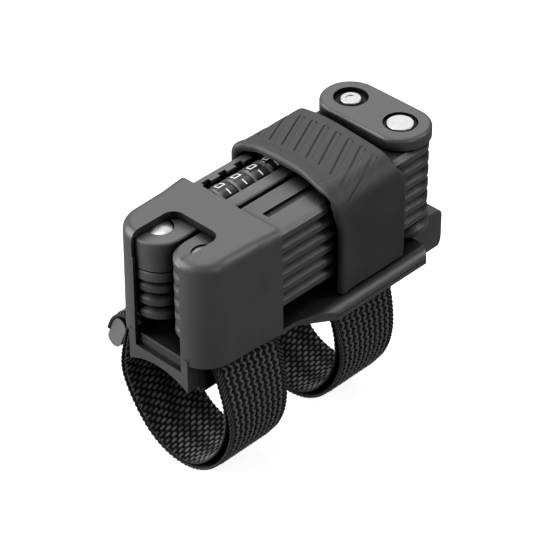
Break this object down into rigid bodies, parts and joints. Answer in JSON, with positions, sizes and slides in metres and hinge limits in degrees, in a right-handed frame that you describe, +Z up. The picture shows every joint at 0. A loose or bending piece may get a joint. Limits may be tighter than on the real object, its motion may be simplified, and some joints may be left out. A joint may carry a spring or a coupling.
{
  "type": "folding bike lock",
  "caption": "Folding bar lock with number dials, folded into a tube holder: moulded cup, rail base, rubber band and two hook-and-loop straps.",
  "frame": {"origin": "on the axis of the clamped tube, midway between the two straps", "axes": "+X along the tube toward the pull-out end, +Y toward the lock case column, +Z up from the tube to the lock"},
  "size_m": [0.1162, 0.0574, 0.0904],
  "materials": {
    "holder_plastic": "fine moulded texture, charcoal",
    "link_plastic": "fine moulded texture, dark charcoal",
    "case_plastic": "fine moulded texture, dark charcoal",
    "core_steel": "hardened bar steel",
    "rivet_steel": "polished, slightly domed",
    "screw_steel": "zinc plated",
    "dial_plastic": "black with white numbers",
    "spacer_metal": "light grey, satin",
    "webbing": "black hook-and-loop webbing",
    "tab_plastic": "smooth grey, welded to the webbing",
    "band_rubber": "satin moulded rubber",
    "pad_rubber": "soft liner"
  },
  "bodies": {
    "holder": {"holder_base": "holder_plastic", "holder_cup": "holder_plastic", "cup_screws": "screw_steel", "saddle_pads": "pad_rubber", "front_strap": "webbing", "rear_strap": "webbing", "band_left": "band_rubber", "band_pin": "screw_steel"},
    "lock_body": {"lock_case_top": "case_plastic", "lock_case_bottom": "case_plastic", "case_screws": "screw_steel", "case_rivet": "rivet_steel", "dial_spacers": "spacer_metal", "dial_spindle": "screw_steel", "detent_spring": "screw_steel"},
    "dial_ring_1": {"dial_1": "dial_plastic"},
    "dial_ring_2": {"dial_2": "dial_plastic"},
    "dial_ring_3": {"dial_3": "dial_plastic"},
    "dial_ring_4": {"dial_4": "dial_plastic"},
    "bolt": {"locking_bolt": "screw_steel"},
    "pair_1": {"link_1": "link_plastic", "link_2": "link_plastic", "link_cores_1": "core_steel", "rivets_1": "rivet_steel"},
    "pair_2": {"link_3": "link_plastic", "crossover_plate": "link_plastic", "link_4": "link_plastic", "link_cores_2": "core_steel", "rivets_2": "rivet_steel"},
    "pair_3": {"link_5": "link_plastic", "link_6": "link_plastic", "link_cores_3": "core_steel", "rivets_3": "rivet_steel"},
    "pair_4": {"link_7": "link_plastic", "link_8": "link_plastic", "link_cores_4": "core_steel", "rivets_4": "rivet_steel"},
    "end_link": {"link_9": "link_plastic", "link_core_5": "core_steel", "end_rivet": "rivet_steel"},
    "end_piece": {"end_plate": "link_plastic", "end_plate_core": "core_steel", "locking_stud": "rivet_steel"},
    "band_bridge": {"band_top": "band_rubber"},
    "band_tail": {"band_right": "band_rubber"},
    "front_tab": {"front_strap_tab": "tab_plastic"},
    "rear_tab": {"rear_strap_tab": "tab_plastic"}
  },
  "joints": [
    {"name": "lock_slide", "type": "slide", "parent": "holder", "child": "lock_body", "axis": [1, 0, 0], "range_m": [0, 0.185], "deforming": ["band_top", "band_left", "band_right"]},
    {"name": "pair_1_fold", "type": "hinge", "parent": "lock_body", "child": "pair_1", "pos_m": [-0.033, 0.0097, 0.0515], "axis": [0, 0, -1], "range_deg": [0, 20.05]},
    {"name": "pair_2_fold", "type": "hinge", "parent": "pair_1", "child": "pair_2", "pos_m": [-0.033, 0.0097, 0.039], "axis": [0, 0, -1], "range_deg": [0, 22.05]},
    {"name": "pair_3_fold", "type": "hinge", "parent": "pair_2", "child": "pair_3", "pos_m": [-0.033, -0.0097, 0.039], "axis": [0, 0, -1], "range_deg": [0, 22.05]},
    {"name": "pair_4_fold", "type": "hinge", "parent": "pair_3", "child": "pair_4", "pos_m": [-0.033, -0.0097, 0.049], "axis": [0, 0, -1], "range_deg": [0, 22.05]},
    {"name": "end_link_fold", "type": "hinge", "parent": "pair_4", "child": "end_link", "pos_m": [-0.033, -0.0097, 0.059], "axis": [0, 0, -1], "range_deg": [0, 22.05]},
    {"name": "end_plate_turn", "type": "hinge", "parent": "end_link", "child": "end_piece", "pos_m": [0.054, -0.0097, 0.064], "axis": [0, 0, 1], "range_deg": [0, 52.05]},
    {"name": "dial_1_spin", "type": "hinge", "parent": "lock_body", "child": "dial_ring_1", "pos_m": [-0.0052, 0.0102, 0.0576], "axis": [1, 0, 0], "continuous": true},
    {"name": "dial_2_spin", "type": "hinge", "parent": "lock_body", "child": "dial_ring_2", "pos_m": [0.00185, 0.0102, 0.0576], "axis": [1, 0, 0], "continuous": true},
    {"name": "dial_3_spin", "type": "hinge", "parent": "lock_body", "child": "dial_ring_3", "pos_m": [0.0089, 0.0102, 0.0576], "axis": [1, 0, 0], "continuous": true},
    {"name": "dial_4_spin", "type": "hinge", "parent": "lock_body", "child": "dial_ring_4", "pos_m": [0.01595, 0.0102, 0.0576], "axis": [1, 0, 0], "continuous": true},
    {"name": "bolt_slide", "type": "slide", "parent": "lock_body", "child": "bolt", "axis": [1, 0, 0], "range_m": [0, 0.0065]},
    {"name": "band_open", "type": "hinge", "parent": "holder", "child": "band_bridge", "pos_m": [0.025, 0.0205, 0.0655], "axis": [-1, 0, 0], "range_deg": [0, 115], "deforming": ["band_top", "band_left", "band_right"]},
    {"name": "band_tail_flex", "type": "hinge", "parent": "band_bridge", "child": "band_tail", "pos_m": [0.025, -0.0205, 0.0625], "axis": [-1, 0, 0], "range_deg": [0, 35], "deforming": ["band_top", "band_left", "band_right"]},
    {"name": "front_tab_lift", "type": "hinge", "parent": "holder", "child": "front_tab", "pos_m": [-0.025, 0.0259, 0.0191], "axis": [1, 0, 0], "range_deg": [0, 60]},
    {"name": "rear_tab_lift", "type": "hinge", "parent": "holder", "child": "rear_tab", "pos_m": [0.0245, 0.0259, 0.0191], "axis": [1, 0, 0], "range_deg": [0, 60]}
  ],
  "couplings": [
    {"joint": "pair_1_fold", "follows": "lock_slide", "rad_per_m": 1.8868},
    {"joint": "pair_2_fold", "follows": "lock_slide", "rad_per_m": 2.0755},
    {"joint": "pair_3_fold", "follows": "lock_slide", "rad_per_m": 2.0755},
    {"joint": "pair_4_fold", "follows": "lock_slide", "rad_per_m": 2.0755},
    {"joint": "end_link_fold", "follows": "lock_slide", "rad_per_m": 2.0755},
    {"joint": "end_plate_turn", "follows": "lock_slide", "rad_per_m": 4.9058},
    {"joint": "band_tail_flex", "follows": "band_open", "ratio": 0.3}
  ]
}
